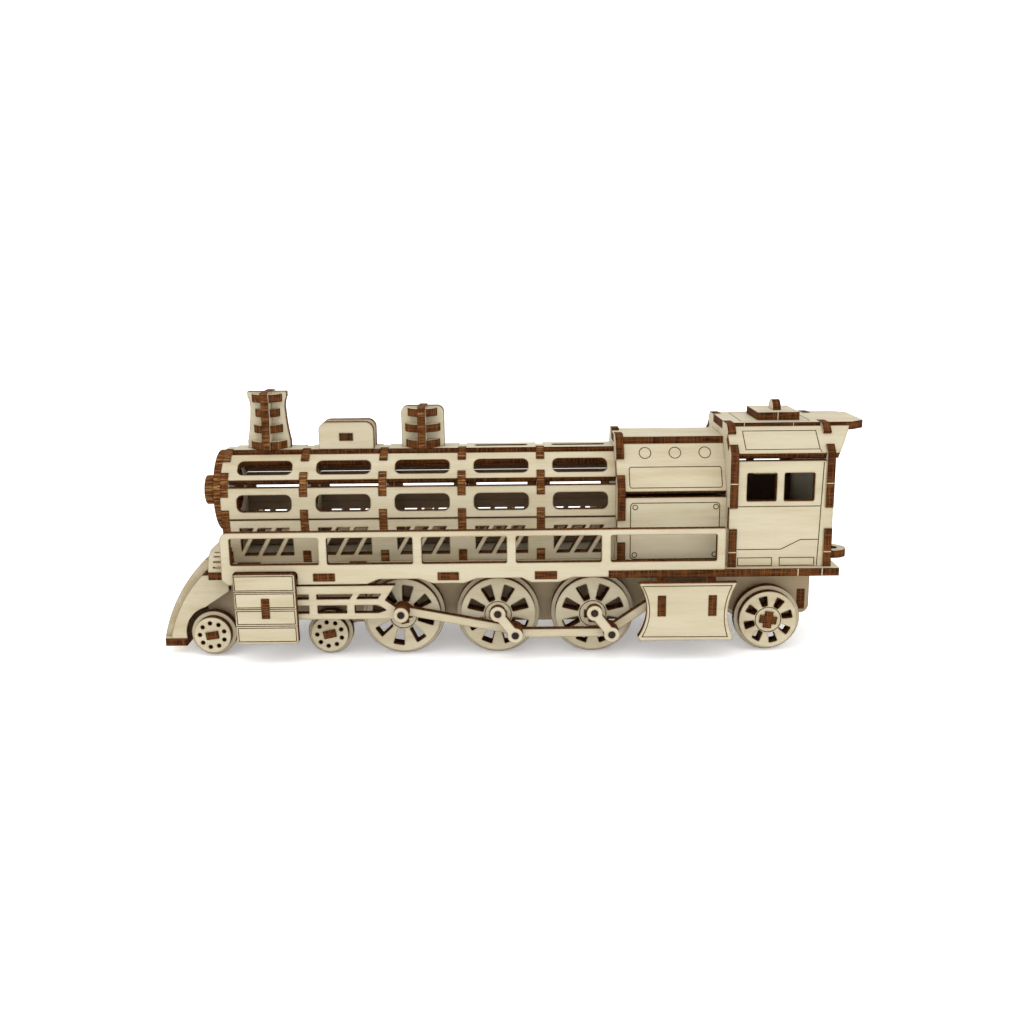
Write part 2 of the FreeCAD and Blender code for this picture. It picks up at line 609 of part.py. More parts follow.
def link(name, start, end, layer, side, half_wide, plain_end=False):
    """A rod from start to end in the x-z plane, with a round eye at each end or a plain far end."""
    length = math.dist(start, end)
    angle = math.degrees(math.atan2(end[1] - start[1], end[0] - start[0]))
    meet = math.sqrt(boss_r ** 2 - half_wide ** 2)
    far_end = [(length - meet, -half_wide), ("arc", length + boss_r, 0.0, length - meet, half_wide)]
    holes = [("circle", 0.0, 0.0, PIN_HOLE), ("circle", length, 0.0, PIN_HOLE)]
    if plain_end:
        far_end = [(length, -half_wide), (length, half_wide)]
        holes.pop()
    outline = [(meet, -half_wide)] + far_end + [(meet, half_wide), ("arc", -boss_r, 0.0, meet, -half_wide)]
    return plate(name, "XZ_Plane", outline, holes, (start[0], f"{side} * Sheet.{layer}", start[1]),
                 tilt_y=-angle, node=False)


BOSSES = [(hub, size("boss_height")) for hub in DRIVERS]
PINS = [(hub + size("pin_lead"), size("pin_height")) for hub in DRIVERS[1:]]
REAR_END = (50.0, 18.9)
half_rod = size("rod_width") / 2
rods = []
arms = []
pins = []
for side_name, side in SIDES:
    rods.append(link(f"main_rod_{side_name}", BOSSES[0], PINS[0], "rod_layer", side, half_rod))
    rods.append(link(f"coupling_rod_{side_name}", PINS[0], PINS[1], "guide_layer", side, half_rod))
    rods.append(link(f"rear_rod_{side_name}", PINS[1], REAR_END, "rod_layer", side, half_rod, plain_end=True))
    arms.append(link(f"arm_2_{side_name}", BOSSES[1], PINS[0], "cover_layer", side, 1.65))
    arms.append(link(f"arm_3_{side_name}", BOSSES[2], PINS[1], "cover_layer", side, 1.65))
    arms.append(plate(f"boss_washer_{side_name}", "XZ_Plane", ("circle", 0, 0, boss_r, "boss_radius"),
                      [("circle", 0, 0, PIN_HOLE)],
                      ("Sheet.driver_first", f"{side} * Sheet.cover_layer", "Sheet.boss_height"), node=False))
    rod_inner = size("rod_layer") - HALF_PLY
    cover_inner = size("cover_layer") - HALF_PLY
    pin_end = COVER_OUTER + 0.3
    seats = [(BOSSES[0], rod_inner), (BOSSES[1], cover_inner), (BOSSES[2], cover_inner),
             (PINS[0], rod_inner), (PINS[1], rod_inner)]
    for order, (spot, inner) in enumerate(seats):
        pins.append(plate(f"pin_{order}_{side_name}", "XZ_Plane",
                          ("circle", 0, 0, size("pin_radius"), "pin_radius"),
                          place=(spot[0], side * (inner + pin_end) / 2, spot[1]), node=False,
                          thick=str(pin_end - inner)))
group("side_rods", rods)
group("crank_arms", arms)
group("rod_pins", pins)

# ---------------------------------------------------------------- pilot and front deck
FLOOR_LOW = 2.5
FLOOR_HIGH = FLOOR_LOW + PLY
CHEEK_OUTER = size("flange_layer") + HALF_PLY
BASE_REAR, BASE_CORNER = -115.6, -123.3
base_outline = [(BASE_REAR, -CHEEK_OUTER), (BASE_REAR, CHEEK_OUTER), (BASE_CORNER, CHEEK_OUTER),
                ("arc", size("front_end"), 0.0, BASE_CORNER, -CHEEK_OUTER)]
plate("pilot_base", "XY_Plane", base_outline, place=(0, 0, FLOOR_LOW + HALF_PLY))
wheel_arch = size("leader_radius") + 1.9
hub_x = size("leader_front")
hub_z = size("leader_radius") - LIFT
arch_start, arch_middle, arch_end = [
    (hub_x - wheel_arch * math.cos(math.radians(angle)), hub_z + wheel_arch * math.sin(math.radians(angle)))
    for angle in (-12.0, 30.0, 75.0)]
cheek_outline = [(arch_start[0], FLOOR_HIGH), arch_start, ("arc",) + arch_middle + arch_end, (-99.4, 22.6),
                 (-99.4, BOARD_UNDER), (-108.6, BOARD_UNDER), ("arc", -116.4, 18.2, -121.2, FLOOR_HIGH)]
group("pilot_cheeks", [
    plate(f"pilot_cheek_{side_name}", "XZ_Plane", cheek_outline, place=(0, f"{side} * Sheet.flange_layer", 0),
          node=False) for side_name, side in SIDES])
apron_outline = [(-124.0, FLOOR_HIGH), ("arc", -119.1, 18.6, -107.6, 34.0), (-105.0, 32.2),
                 ("arc", -116.5, 17.4, -121.2, FLOOR_HIGH)]
plate("pilot_apron", "XZ_Plane", apron_outline, thick="2 * (Sheet.flange_layer - Sheet.ply / 2)")

# The front deck bridges the board in front of the boiler. A living hinge, four slits cut along X in
# each shoulder and open at the rear, bends the sheet down to the board on both sides.
DECK_FRONT, DECK_REAR = size("board_front"), -98.0
DECK_TOP, DECK_HALF, DECK_BEND = 38.2, size("board_inner_half"), 6.8
SLIT_START, SLIT_HALF = DECK_FRONT + 1.8, 0.2
bend_y = DECK_HALF - DECK_BEND
bend_z = DECK_TOP - DECK_BEND


def bend_spot(radius, angle):
    """A point on the deck's right-hand bend, angle degrees up from the horizontal."""
    turn = math.radians(angle)
    return bend_y + radius * math.cos(turn), bend_z + radius * math.sin(turn)


def deck_side(radius, sign):
    """The bend at one radius as an arc, from the board up on the right (+1) or down on the left (-1)."""
    middle_y, middle_z = bend_spot(radius, 45.0)
    end = (bend_y, bend_z + radius) if sign > 0 else (-bend_y - radius, bend_z)
    return ("arc", sign * middle_y, middle_z, *end)


inner_bend = DECK_BEND - PLY
inner_y, inner_z = bend_spot(inner_bend, 45.0)
deck_outline = [(DECK_HALF, bend_z), deck_side(DECK_BEND, 1), (-bend_y, DECK_TOP), deck_side(DECK_BEND, -1),
                (-DECK_HALF + PLY, bend_z), ("arc", -inner_y, inner_z, -bend_y, DECK_TOP - PLY),
                (bend_y, DECK_TOP - PLY), ("arc", inner_y, inner_z, DECK_HALF - PLY, bend_z)]
slits = []
for side in (-1, 1):
    for angle in (14.0, 31.0, 48.0, 65.0):
        spot_y, spot_z = bend_spot(DECK_BEND - HALF_PLY, angle)
        slits.append(turned_rectangle((side * spot_y, spot_z), PLY, SLIT_HALF, side * angle))
deck = plate("front_deck", "YZ_Plane", deck_outline, place=((DECK_FRONT + DECK_REAR) / 2, 0, 0),
             thick=str(DECK_REAR - DECK_FRONT))


def rear_pocket(body, name, loops, depth):
    """Cut the loops into the deck from its rear end, to the given depth."""
    solid_before = body.Tip
    cut = body.newObject("PartDesign::Pocket", name)
    sketch = sketch_on(body, name + "_lines", "YZ_Plane", loops)
    sketch.AttachmentOffset = FreeCAD.Placement(FreeCAD.Vector(0, 0, (DECK_REAR - DECK_FRONT) / 2),
                                                FreeCAD.Rotation())
    cut.Profile = sketch
    cut.Type = "Length"
    cut.Length = depth
    doc.recompute()
    if cut.Shape.Volume >= solid_before.Shape.Volume:
        raise RuntimeError("nothing was cut by " + name)


SADDLE_HALF = 17.5
doc.recompute()
rear_pocket(deck, "deck_slits", slits, DECK_REAR - SLIT_START)
rear_pocket(deck, "deck_saddle", [rectangle(-SADDLE_HALF, BOARD_TOP, SADDLE_HALF, DECK_TOP + 1.0)],
            DECK_REAR - BOILER_FRONT)

# ---------------------------------------------------------------- chimney, sand box and dome
def half_disc(radius, sign):
    """Half a disc, whose straight side lies against the long plate's left (-1) or right (+1) face."""
    flat = math.sqrt(radius ** 2 - HALF_PLY ** 2)
    return [(-flat, sign * HALF_PLY), ("arc", 0.0, sign * radius, flat, sign * HALF_PLY)]


def cross_cuts(levels, lap):
    """The cross plate's lap slot, open below and widened by a slot for each low disc, then closed
    slots on both sides for the discs above the lap."""
    comb = []
    closed = []
    for level, radius in levels:
        low, high = level - HALF_PLY, level + HALF_PLY
        if low > lap:
            closed += [rectangle(-radius, low, -HALF_PLY, high), rectangle(HALF_PLY, low, radius, high)]
        else:
            comb += [(HALF_PLY, low), (radius, low), (radius, high), (HALF_PLY, high)]
    lowest_radius = comb[1][0]
    comb = [(lowest_radius, -1.0)] + comb[2:] + [(HALF_PLY, lap)]
    return [mirrored(comb)] + closed


def stacked_fitting(name, profile, lap, levels):
    """Two crossed profile plates, given as half an outline and lapped at the height lap, with two half
    discs at each level (height, radius). The discs slide through the cross plate."""
    outline = mirrored(profile)
    height = end_of(profile[-1])[1]
    place = (f"Sheet.{name}_place", 0, "Sheet.boiler_top")
    plate(f"{name}_long_profile", "XZ_Plane", outline, [rectangle(-HALF_PLY, lap, HALF_PLY, height + 1.0)],
          place)
    plate(f"{name}_cross_profile", "YZ_Plane", outline, cross_cuts(levels, lap), place)
    halves = []
    for order, (level, radius) in enumerate(levels, start=1):
        for side_name, side in SIDES:
            spot = (place[0], 0, f"Sheet.boiler_top + {level}")
            halves.append(plate(f"{name}_disc_{order}_{side_name}", "XY_Plane", half_disc(radius, side),
                                place=spot, node=False))
    group(f"{name}_discs", halves)


chimney_profile = [(7.6, 0.0), (7.7, 2.4), ("arc", 6.65, 8.8, 6.25, 13.8), ("arc", 6.35, 16.7, 7.0, 18.6),
                   (7.0, 20.4)]
dome_profile = [(7.7, 0.0), (7.7, 12.0), ("arc", 7.0, 14.0, 5.2, 14.8)]
stacked_fitting("chimney", chimney_profile, 10.2, ((HALF_PLY, 6.6), (7.2, 5.4), (12.9, 4.7), (18.2, 5.6)))
stacked_fitting("dome", dome_profile, 9.6, ((HALF_PLY, 6.3), (7.1, 6.5), (12.6, 5.5)))

BOX_HALF, BOX_HEIGHT, BOX_LAYER = 9.8, 9.6, 4.0
SPACER_HEIGHT, SPACER_HALF, SPACER_TAB = 4.3, 6.0, 2.45
SPACER_INNER, SPACER_OUTER = BOX_LAYER - HALF_PLY, BOX_LAYER + HALF_PLY
box_outline = [(-BOX_HALF, 0.0), (BOX_HALF, 0.0), (BOX_HALF, BOX_HEIGHT, 3.0), (-BOX_HALF, BOX_HEIGHT, 3.0)]
box_slot = [rectangle(-SPACER_TAB, SPACER_HEIGHT - HALF_PLY, SPACER_TAB, SPACER_HEIGHT + HALF_PLY)]
spacer_outline = both_sides([(-SPACER_HALF, SPACER_INNER), (-SPACER_TAB, SPACER_INNER),
                             (-SPACER_TAB, SPACER_OUTER), (SPACER_TAB, SPACER_OUTER),
                             (SPACER_TAB, SPACER_INNER), (SPACER_HALF, SPACER_INNER)])
sand_box = [plate("sand_box_spacer", "XY_Plane", spacer_outline,
                  place=("Sheet.sand_box_place", 0, f"Sheet.boiler_top + {SPACER_HEIGHT}"), node=False)]
for side_name, side in SIDES:
    sand_box.append(plate(f"sand_box_{side_name}", "XZ_Plane", box_outline, box_slot,
                          ("Sheet.sand_box_place", side * BOX_LAYER, "Sheet.boiler_top"), node=False))
group("sand_box", sand_box)

# ---------------------------------------------------------------- wheelsets
PLUS_HALF = size("axle_width") / 2
AXLE_HALF = size("tread_layer") + HALF_PLY + size("axle_proud")


def turned(points, angle):
    """The same outline turned about the origin."""
    cosine = math.cos(math.radians(angle))
    sine = math.sin(math.radians(angle))
    return [(p[0] * cosine - p[1] * sine, p[0] * sine + p[1] * cosine) + tuple(p[2:]) for p in points]


def plus_hole():
    """The hole for a crossed axle: a quarter of the plus, four times."""
    quarter = [(PLUS_HALF, HALF_PLY), (HALF_PLY, HALF_PLY), (HALF_PLY, PLUS_HALF)]
    return [point for turn in range(4) for point in turned(quarter, 90.0 * turn)]


def spoke_windows(inner, outer, inner_half, outer_half):
    """Eight tapered openings between the spokes, from the inner to the outer radius."""
    opening = [(inner, -inner_half, 0.4), (outer, -outer_half, 0.4), (outer, outer_half, 0.4),
               (inner, inner_half, 0.4)]
    return [turned(opening, 22.5 + 45 * index) for index in range(8)]


def wheelset(name, middle, height, flange, tread, cuts, phase):
    """Two pairs of discs, flange inside and tread outside, turned together by the phase angle."""
    discs = []
    for side_name, side in SIDES:
        for kind, alias, layer in (("flange", flange, "flange_layer"), ("tread", tread, "tread_layer")):
            discs.append(plate(f"{name}_{kind}_{side_name}", "XZ_Plane", ("circle", 0, 0, size(alias), alias),
                               cuts, (middle, f"{side} * Sheet.{layer}", height), tilt_y=-phase,
                               node=False, lift=False))
    group(name, discs)


def crossed_axle(name, middle, height, phase):
    """Two strips slotted into each other lengthwise, so the axle's section is a plus."""
    upright = rectangle(-AXLE_HALF, -PLUS_HALF, AXLE_HALF, PLUS_HALF)
    flat = rectangle(-PLUS_HALF, -AXLE_HALF, PLUS_HALF, AXLE_HALF)
    slot_upright = [rectangle(0.0, -HALF_PLY, AXLE_HALF + 1.0, HALF_PLY)]
    slot_flat = [rectangle(-HALF_PLY, -AXLE_HALF - 1.0, HALF_PLY, 0.0)]
    place = (middle, 0, height)
    strips = [(f"{name}_upright", "YZ_Plane", upright, slot_upright),
              (f"{name}_flat", "XY_Plane", flat, slot_flat)]
    group(name, [plate(*strip, place, tilt_y=-phase, node=False, lift=False) for strip in strips])


# how far each wheelset is turned about its axle at rest, degrees
DRIVER_PHASES = (12.5, 0.0, 0.0)
TRAILER_PHASE = -8.0
LEADER_PHASES = (("front", 8.0), ("rear", 12.0))
driver_windows = spoke_windows(5.2, 11.0, 1.15, 2.05)
for order, phase in enumerate(DRIVER_PHASES, start=1):
    hub = f"Sheet.driver_first + Sheet.driver_pitch * {order - 1}"
    wheelset(f"driving_wheels_{order}", hub, "Sheet.driver_radius", "driver_radius", "driver_tread",
             driver_windows + [plus_hole()], phase)
    crossed_axle(f"driving_axle_{order}", hub, "Sheet.driver_radius", phase)

trailer_windows = spoke_windows(4.9, 8.6, 1.0, 1.6)
wheelset("trailing_wheels", "Sheet.trailer_place", "Sheet.trailer_radius", "trailer_radius", "trailer_tread",
         trailer_windows + [plus_hole()], TRAILER_PHASE)
crossed_axle("trailing_axle", "Sheet.trailer_place", "Sheet.trailer_radius", TRAILER_PHASE)

SMALL_HALF = size("small_axle_width") / 2
HOLE_COUNT, HOLE_RADIUS, HOLE_CIRCLE = 9, 0.75, 4.45
holes = []
for index in range(HOLE_COUNT):
    angle = math.radians(90 + 360 / HOLE_COUNT * index)
    holes.append(("circle", HOLE_CIRCLE * math.cos(angle), HOLE_CIRCLE * math.sin(angle), HOLE_RADIUS))
for place_name, phase in LEADER_PHASES:
    hub = f"Sheet.leader_{place_name}"
    wheelset(f"leading_wheels_{place_name}", hub, "Sheet.leader_radius", "leader_radius", "leader_tread",
             holes + [rectangle(-SMALL_HALF, -HALF_PLY, SMALL_HALF, HALF_PLY)], phase)
    strip = rectangle(-SMALL_HALF, -AXLE_HALF, SMALL_HALF, AXLE_HALF)
    plate(f"leading_axle_{place_name}", "XY_Plane", strip, place=(hub, 0, "Sheet.leader_radius"),
          tilt_y=-phase, lift=False)

# ---------------------------------------------------------------- check and write
doc.recompute()
faults = [item.Name for item in doc.Objects if "Invalid" in item.State or "Error" in item.State]
if faults:
    raise RuntimeError("these objects did not build: " + ", ".join(faults))
for item in nodes:
    if item.Shape.isNull() or not item.Shape.isValid() or not item.Shape.Solids:
        raise RuntimeError("this piece has no valid solid: " + item.Label)
for item in nodes:
    item.Shape.exportStep(os.path.join("parts", item.Label + ".step"))
whole = Part.makeCompound([item.Shape for item in nodes]).BoundBox
print(len(nodes), "nodes, box", [round(v, 2) for v in (whole.XMin, whole.XMax, whole.YMin, whole.YMax,
                                                     whole.ZMin, whole.ZMax)])
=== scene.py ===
import math
import random

import bmesh
import bpy
from mathutils import Euler, Matrix, Vector


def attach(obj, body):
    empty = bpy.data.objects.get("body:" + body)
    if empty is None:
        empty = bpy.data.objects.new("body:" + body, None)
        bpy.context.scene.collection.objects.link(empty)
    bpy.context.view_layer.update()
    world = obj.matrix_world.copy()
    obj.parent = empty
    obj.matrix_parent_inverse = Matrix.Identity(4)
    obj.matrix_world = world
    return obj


# Looks for the plywood locomotive. Places on the object are in millimetres; MM turns them into metres.
MM = 0.001

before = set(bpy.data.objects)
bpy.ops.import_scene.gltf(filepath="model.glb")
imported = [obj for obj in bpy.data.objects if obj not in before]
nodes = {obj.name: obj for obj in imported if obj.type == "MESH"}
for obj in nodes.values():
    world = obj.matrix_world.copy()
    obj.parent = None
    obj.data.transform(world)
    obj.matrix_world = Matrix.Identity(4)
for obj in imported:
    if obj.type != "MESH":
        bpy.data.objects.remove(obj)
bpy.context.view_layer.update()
random.seed(7)

SIDES = (("left", -1), ("right", 1))
X, Y, Z = (1, 0, 0), (0, 1, 0), (0, 0, 1)

# ---------------------------------------------------------------- colours, linear RGB
BIRCH_LIGHT = (0.50, 0.445, 0.317, 1)
BIRCH_MID = (0.45, 0.387, 0.26, 1)
BIRCH_DARK = (0.37, 0.295, 0.167, 1)
# Painted shade: the dark inner faces of the boiler panels and of the firebox and cab panels stand in for the
# shade inside the body.
BOILER_INSIDE_SHADE = (0.19, 0.125, 0.07, 1)
CAB_INSIDE_SHADE = (0.09, 0.05, 0.028, 1)
# Painted shade: the chassis and cross members under the body are browned for the shade they sit in.
FRAME_SHADE_COLOUR = (0.26, 0.19, 0.11, 1)
CUT_PALE = (0.42, 0.25, 0.10, 1)
CUT_BRIGHT = (0.145, 0.052, 0.014, 1)
CUT_MID = (0.058, 0.019, 0.006, 1)
CUT_DARK = (0.016, 0.007, 0.004, 1)
SCORCH = (0.16, 0.085, 0.032, 1)
LINE_DARK = (0.03, 0.015, 0.007, 1)
LINE_LIGHT = (0.12, 0.07, 0.03, 1)


# A flat plate's surfaces whose cosine to its normal is below this are cuts.
FACE_LIMIT = 0.6
CUT_SPECULAR = 0.04
FACE_SPECULAR = 0.3
MARK_SPECULAR = 0.2
SCORCH_REACH = 0.5


# ---------------------------------------------------------------- materials
class Tree:
    """Short calls for building a material's nodes."""

    def __init__(self, name):
        self.material = bpy.data.materials.new(name)
        self.material.use_nodes = True
        self.tree = self.material.node_tree
        self.tree.nodes.clear()

    def add(self, kind, **settings):
        node = self.tree.nodes.new(kind)
        for key, value in settings.items():
            setattr(node, key, value)
        return node

    def link(self, start, end):
        self.tree.links.new(start, end)

    def put(self, socket, value):
        if isinstance(value, bpy.types.NodeSocket):
            self.link(value, socket)
        else:
            socket.default_value = value

    def math(self, operation, first, second=0.0, clamp=False):
        node = self.add("ShaderNodeMath", operation=operation, use_clamp=clamp)
        self.put(node.inputs[0], first)
        self.put(node.inputs[1], second)
        return node.outputs[0]

    def dot(self, first, second):
        node = self.add("ShaderNodeVectorMath", operation="DOT_PRODUCT")
        self.put(node.inputs[0], first)
        self.put(node.inputs[1], second)
        return node.outputs["Value"]

    def mix(self, factor, first, second):
        node = self.add("ShaderNodeMix", data_type="RGBA")
        self.put(node.inputs[0], factor)
        self.put(node.inputs[6], first)
        self.put(node.inputs[7], second)
        return node.outputs[2]

    def ramp(self, factor, stops):
        node = self.add("ShaderNodeValToRGB")
        elements = node.color_ramp.elements
        while len(elements) < len(stops):
            elements.new(0.5)
        for element, (position, colour) in zip(elements, stops):
            element.position = position
            element.color = colour
        self.put(node.inputs[0], factor)
        return node.outputs[0]

    def noise(self, vector, detail=2.0, roughness=0.5, scale=1.0):
        node = self.add("ShaderNodeTexNoise")
        self.put(node.inputs["Vector"], vector)
        node.inputs["Scale"].default_value = scale
        node.inputs["Detail"].default_value = detail
        node.inputs["Roughness"].default_value = roughness
        return node.outputs["Fac"]

    def finish(self, colour, roughness, specular, height, strength, depth):
        """A principled surface with a small bump; returns the material."""
        shader = self.add("ShaderNodeBsdfPrincipled")
        self.put(shader.inputs["Base Color"], colour)
        self.put(shader.inputs["Roughness"], roughness)
        self.put(shader.inputs["Specular IOR Level"], specular)
        bump = self.add("ShaderNodeBump")
        bump.inputs["Strength"].default_value = strength
        bump.inputs["Distance"].default_value = depth * MM
        self.link(height, bump.inputs["Height"])
        self.link(bump.outputs[0], shader.inputs["Normal"])
        surface = self.add("ShaderNodeOutputMaterial")
        self.link(shader.outputs[0], surface.inputs["Surface"])
        return self.material


def grey(value):
    return (value, value, value, 1)


def stretched(tree, coordinates, axes, place):
    """Texture space in millimetres; axes are (direction, stretch) pairs and place shifts the figure."""
    joined = tree.add("ShaderNodeCombineXYZ")
    for index, (axis, stretch) in enumerate(axes):
        value = tree.math("MULTIPLY", tree.dot(coordinates, axis), stretch / MM)
        tree.link(tree.math("ADD", value, place[index]), joined.inputs[index])
    return joined.outputs[0]


def burnt_edge(tree, coordinates, axes, place, rim, pale):
    """The laser's cut through the ply: char with streaks across it, the middle layer, darker arrises."""
    across, grain, normal = axes
    streak_axes = ((across, 2.1), (grain, 2.1), (normal, 0.12))
    layer_axes = ((across, 0.09), (grain, 0.09), (normal, 1.5))
    streaks = tree.noise(stretched(tree, coordinates, streak_axes, place), 3.0, 0.65)
    layers = tree.noise(stretched(tree, coordinates, layer_axes, place), 1.0, 0.4)
    colour = tree.ramp(streaks, [(0.34, CUT_DARK), (0.50, CUT_MID), (0.68, CUT_BRIGHT)])
    layer_mask = tree.ramp(layers, [(0.46, grey(0.0)), (0.56, grey(0.45))])
    colour = tree.mix(layer_mask, colour, CUT_BRIGHT)
    paler = tree.ramp(streaks, [(0.40, CUT_MID), (0.52, CUT_BRIGHT), (0.66, CUT_PALE)])
    colour = tree.mix(pale, colour, paler)
    return tree.mix(tree.math("MULTIPLY", rim, 0.8), colour, CUT_DARK), streaks


def plywood(name, normal, grain, tone_and_shade=0.0, bent_limit=None, back=None, painted_shade=0.0, pale=0.0):
    """Birch ply for one plate. normal points out of its faces, grain runs along its veneer.
    bent_limit: for a sheet bent about normal, the cosine to normal below which a surface is a face.
    back: painted shade, the dark colour of the face on the other side from normal, standing in for the shade
    inside the body.
    painted_shade: how far all its faces are browned as painted shade for the shade they sit in, 0 to 1. pale:
    how lightly the cuts are burnt, 0 to 1."""
    tree = Tree(name)
    space = tree.add("ShaderNodeTexCoord")
    normal = Vector(normal).normalized()
    grain = Vector(grain).normalized()
    across = normal.cross(grain)
    shift = [random.uniform(-400, 400) for _ in range(3)]
    coordinates = space.outputs["Object"]

    towards = tree.dot(space.outputs["Normal"], normal)
    facing = tree.math("ABSOLUTE", towards)
    if bent_limit:
        is_face = tree.math("LESS_THAN", facing, bent_limit)
    else:
        is_face = tree.math("GREATER_THAN", facing, FACE_LIMIT)

    # Veneer: soft figure, fine pores and a few darker streaks along the grain.
    figure_axes = ((across, 0.20), (grain, 0.022), (normal, 0.2))
    pore_axes = ((across, 3.2), (grain, 0.16), (normal, 1.0))
    cloud_axes = ((across, 0.05), (grain, 0.035), (normal, 0.1))
    figure = tree.noise(stretched(tree, coordinates, figure_axes, shift), 5.0, 0.6)
    pores = tree.noise(stretched(tree, coordinates, pore_axes, shift), 3.0, 0.65)
    cloud = tree.noise(stretched(tree, coordinates, cloud_axes, shift), 2.0, 0.5)
    # The veneer's tone shifts at random from plate to plate; the darker shifts of the hidden frames and the
    # apron are painted shade.
    toned = tree.math("ADD", figure, tone_and_shade)
    veneer = tree.ramp(toned, [(0.30, BIRCH_DARK), (0.48, BIRCH_MID), (0.66, BIRCH_LIGHT)])
    veneer = tree.mix(tree.math("MULTIPLY", cloud, 0.5), veneer, BIRCH_LIGHT)
    pore_mask = tree.ramp(pores, [(0.34, grey(0.24)), (0.46, grey(0.0))])
    veneer = tree.mix(pore_mask, veneer, BIRCH_DARK)
    # Painted shade: the frames under the body are browned for the shade they sit in.
    if painted_shade:
        veneer = tree.mix(painted_shade, veneer, FRAME_SHADE_COLOUR)
    # Painted shade: the inner face is darkened for the shade inside the body.
    if back:
        is_back = tree.math("LESS_THAN", towards, -FACE_LIMIT)
        veneer = tree.mix(is_back, veneer, back)

    # Scorch: the laser browns the veneer within a few tenths of a millimetre of every cut.
    near = tree.add("ShaderNodeAmbientOcclusion", inside=True, only_local=True, samples=6)
    near.inputs["Distance"].default_value = SCORCH_REACH * MM
    rim = tree.math("SUBTRACT", 1.0, near.outputs["AO"], clamp=True)
    rim = tree.ramp(rim, [(0.12, grey(0.0)), (0.50, grey(0.9))])
    veneer = tree.mix(rim, veneer, SCORCH)

    cut, streaks = burnt_edge(tree, coordinates, (across, grain, normal), shift, rim, pale)
    colour = tree.mix(is_face, cut, veneer)
    face_roughness = tree.ramp(pores, [(0.3, grey(0.72)), (0.7, grey(0.56))])
    roughness = tree.mix(is_face, grey(0.85), face_roughness)
    specular = tree.mix(is_face, grey(CUT_SPECULAR), grey(FACE_SPECULAR))
    height = tree.mix(is_face, streaks, pores)
    return tree.finish(colour, roughness, specular, height, 0.35, 0.06)


def flecked(name, dark, light, roughness, fleck=1.3):
    """Small marks of one colour range, such as a scored line or a dowel's end."""
    tree = Tree(name)
    space = tree.add("ShaderNodeTexCoord")
    flecks = tree.noise(space.outputs["Object"], 3.0, 0.6, fleck / MM)
    colour = tree.ramp(flecks, [(0.35, dark), (0.65, light)])
    return tree.finish(colour, roughness, MARK_SPECULAR, flecks, 0.4, 0.05)


# The outward lean of each tilted panel, degrees from level.
TILTS = {"boiler_shoulder": 45.0, "boiler_lower": 99.1, "firebox_shoulder": 59.7, "cab_shoulder": 42.0}
ACROSS_X = ("boiler_rings", "firebox_frame", "cab_front_frame", "cab_rear_frame", "smokebox_disc",
            "smokebox_door", "cross_members", "chimney_cross_profile", "dome_cross_profile", "roof_handle",
            "front_deck")
ACROSS_Z = ("boiler_top_panel", "firebox_top_panel", "roof_panel", "roof_hatch", "running_board",
            "coupling_eye", "pilot_base", "chimney_discs", "dome_discs")
# Painted shade: the inner faces of these panels are darkened for the shade inside the boiler, firebox and
# cab.
INSIDE_SHADES = {"boiler_shoulder": BOILER_INSIDE_SHADE, "boiler_side": BOILER_INSIDE_SHADE, "boiler_lower": BOILER_INSIDE_SHADE,
         "boiler_top": BOILER_INSIDE_SHADE, "firebox_shoulder": CAB_INSIDE_SHADE, "firebox_side": CAB_INSIDE_SHADE,
         "firebox_top": CAB_INSIDE_SHADE, "cab_side": CAB_INSIDE_SHADE, "cab_shoulder": CAB_INSIDE_SHADE}
# Painted shade: the chassis and cross members are browned for the shade under the body.
SHADED_FRAMES = ("chassis", "cross_members")
FRAME_SHADE_SHARE = 0.8
PALE_CUTS = {"smokebox_disc": 0.8, "smokebox_door": 0.5, "chimney_discs": 0.15, "dome_discs": 0.15,
             "chimney_cross_profile": 0.3, "dome_cross_profile": 0.3, "boiler_rings": 0.5, "sand_box": 0.3}


def plate_axes(node):
    """The outward normal and the grain of a node's plates."""
    side = 1 if node.endswith("right") else -1
    for start, tilt in TILTS.items():
        if node.startswith(start):
            lean = math.radians(tilt)
            return (0, side * math.sin(lean), math.cos(lean)), X
    if node in ACROSS_X:
        return X, Z
    if node in ACROSS_Z or "axle" in node:
        return Z, X
    return (0, side, 0), X


def inside_shade_colour(node):
    """The painted shade on a panel's inner face, standing in for the shade inside the body, or None."""
    for start, colour in INSIDE_SHADES.items():
        if node.startswith(start):
            return colour
    return None


def veneer_tone_and_shade(node):
    """How far a plate's veneer is from the middle tone; the hidden frames are the darkest and the apron
    darker still, both as painted shade, and the rest vary at random.
    """
    if node.startswith(("chassis", "cross", "boiler_rings")):
        return -0.05
    if node == "pilot_apron":
        return -0.10
    return random.uniform(-0.02, 0.06)


for name in sorted(nodes):
    normal, grain = plate_axes(name)
    obj = nodes[name]
    obj.data.materials.clear()
    obj.data.materials.append(plywood(
        "ply_" + name, normal, grain, veneer_tone_and_shade(name),
        bent_limit=FACE_LIMIT if name == "front_deck" else None, back=inside_shade_colour(name),
        painted_shade=FRAME_SHADE_SHARE if name.startswith(SHADED_FRAMES) else 0.0, pale=PALE_CUTS.get(name, 0.0)))

# The apron is one sheet bent round under the light, so its sides show veneer as well; its darker veneer tone
# is painted shade.
apron_material = plywood("ply_apron_veneer", Z, Y, -0.14, bent_limit=0.97)
nodes["pilot_apron"].data.materials.clear()
nodes["pilot_apron"].data.materials.append(apron_material)

dowel = flecked("dowel_end", (0.006, 0.004, 0.003, 1), (0.03, 0.015, 0.01, 1), 0.7)
nodes["rod_pins"].data.materials.clear()
nodes["rod_pins"].data.materials.append(dowel)

